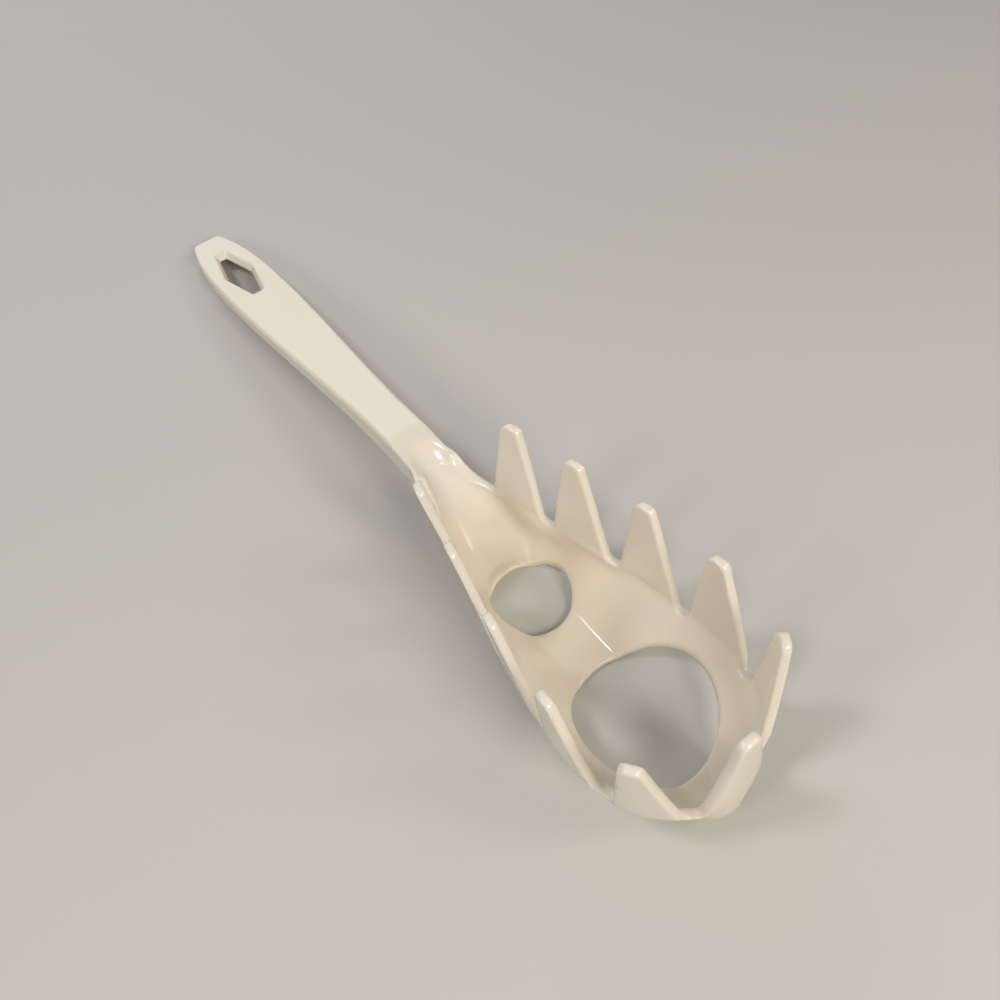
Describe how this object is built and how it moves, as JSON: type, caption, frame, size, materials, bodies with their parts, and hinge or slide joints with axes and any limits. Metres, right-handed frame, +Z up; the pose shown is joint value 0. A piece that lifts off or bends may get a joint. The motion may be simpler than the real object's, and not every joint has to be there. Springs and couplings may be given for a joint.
{
  "type": "pasta server",
  "caption": "One-piece moulded pasta server: flat handle with a six-sided hanging hole, deep scoop with round drain holes, and tall teeth standing round its rim.",
  "frame": {"origin": "centre of the footprint at table height, with the server lying on its keel and its handle's butt", "axes": "+X along the handle towards the front tooth, +Z up out of the scoop"},
  "size_m": [0.3142, 0.0604, 0.052],
  "materials": {
    "cream_plastic": "gloss"
  },
  "bodies": {
    "root": {"handle": "cream_plastic", "neck": "cream_plastic", "bowl": "cream_plastic", "tooth_left_1": "cream_plastic", "tooth_left_2": "cream_plastic", "tooth_left_3": "cream_plastic", "tooth_left_4": "cream_plastic", "tooth_left_5": "cream_plastic", "tooth_right_1": "cream_plastic", "tooth_right_2": "cream_plastic", "tooth_right_3": "cream_plastic", "tooth_right_4": "cream_plastic", "tooth_right_5": "cream_plastic", "tooth_front": "cream_plastic"}
  },
  "joints": []
}
